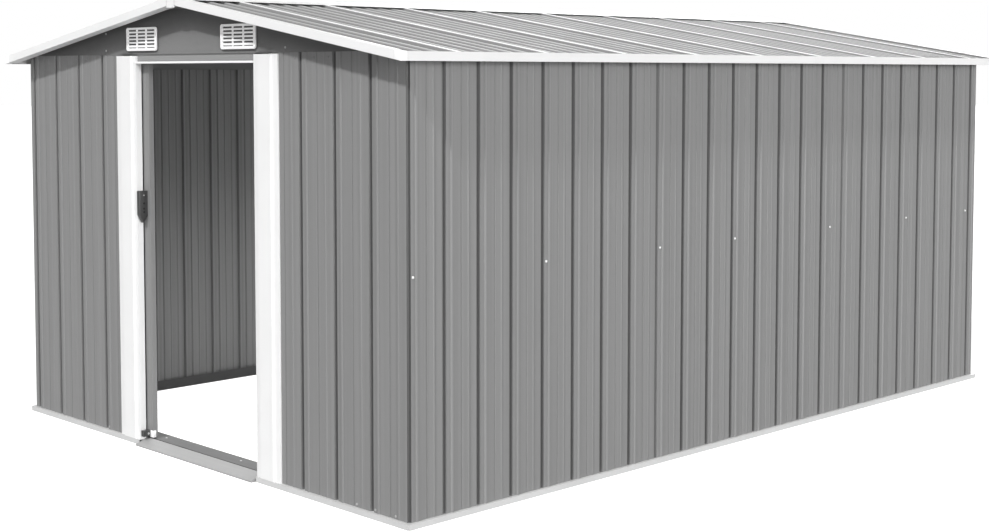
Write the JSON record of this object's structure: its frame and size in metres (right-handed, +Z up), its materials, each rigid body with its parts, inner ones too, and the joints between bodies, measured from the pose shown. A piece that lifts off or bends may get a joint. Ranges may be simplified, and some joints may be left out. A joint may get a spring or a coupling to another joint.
{
  "type": "metal storage shed",
  "caption": "Gable-roofed garden shed of ribbed grey sheet steel with white base rail, door jambs, vents and roof trims, and a leaf that slides along the inside of the front wall.",
  "frame": {"origin": "on the ground, at the middle of the roof's outline", "axes": "+Z up, front with the doorway faces -Y, +X to the right of someone facing the door"},
  "size_m": [2.632, 3.808, 1.78],
  "materials": {
    "grey_steel": "satin grey paint on ribbed sheet",
    "white_steel": "satin white paint on folded trim",
    "pale_steel": "light grey paint",
    "bare_steel": "galvanised framing",
    "white_plastic": "moulded white plastic",
    "dark_plastic": "moulded dark plastic"
  },
  "bodies": {
    "shed": {"back_gable": "grey_steel", "back_rake_trims": "white_steel", "back_vents": "white_plastic", "back_wall_left": "grey_steel", "back_wall_right": "grey_steel", "base_inner_rails": "grey_steel", "base_rail_back": "white_steel", "base_rail_front_left": "white_steel", "base_rail_front_right": "white_steel", "base_rail_left": "white_steel", "base_rail_right": "white_steel", "door_bottom_track": "grey_steel", "door_header": "pale_steel", "door_jamb_left": "white_steel", "door_jamb_right": "white_steel", "door_threshold": "pale_steel", "door_upper_track": "bare_steel", "eave_trim_left": "white_steel", "eave_trim_right": "white_steel", "front_gable": "grey_steel", "front_rake_trims": "white_steel", "front_vents": "white_plastic", "front_wall_left": "grey_steel", "front_wall_right": "grey_steel", "left_wall_back": "grey_steel", "left_wall_front": "grey_steel", "left_wall_middle": "grey_steel", "ridge_beam": "bare_steel", "ridge_cap": "white_steel", "right_wall_back": "grey_steel", "right_wall_front": "grey_steel", "right_wall_middle": "grey_steel", "roof_corner_caps": "white_plastic", "roof_left_back": "grey_steel", "roof_left_front": "grey_steel", "roof_left_middle": "grey_steel", "roof_right_back": "grey_steel", "roof_right_front": "grey_steel", "roof_right_middle": "grey_steel", "side_top_rails": "bare_steel"},
    "door": {"door_sheet": "grey_steel", "door_stiles": "grey_steel", "door_rails": "grey_steel", "door_handle": "dark_plastic", "door_runners": "dark_plastic"}
  },
  "joints": [
    {"name": "door_slide", "type": "slide", "parent": "shed", "child": "door", "axis": [1, 0, 0], "range_m": [0, 0.762]}
  ]
}
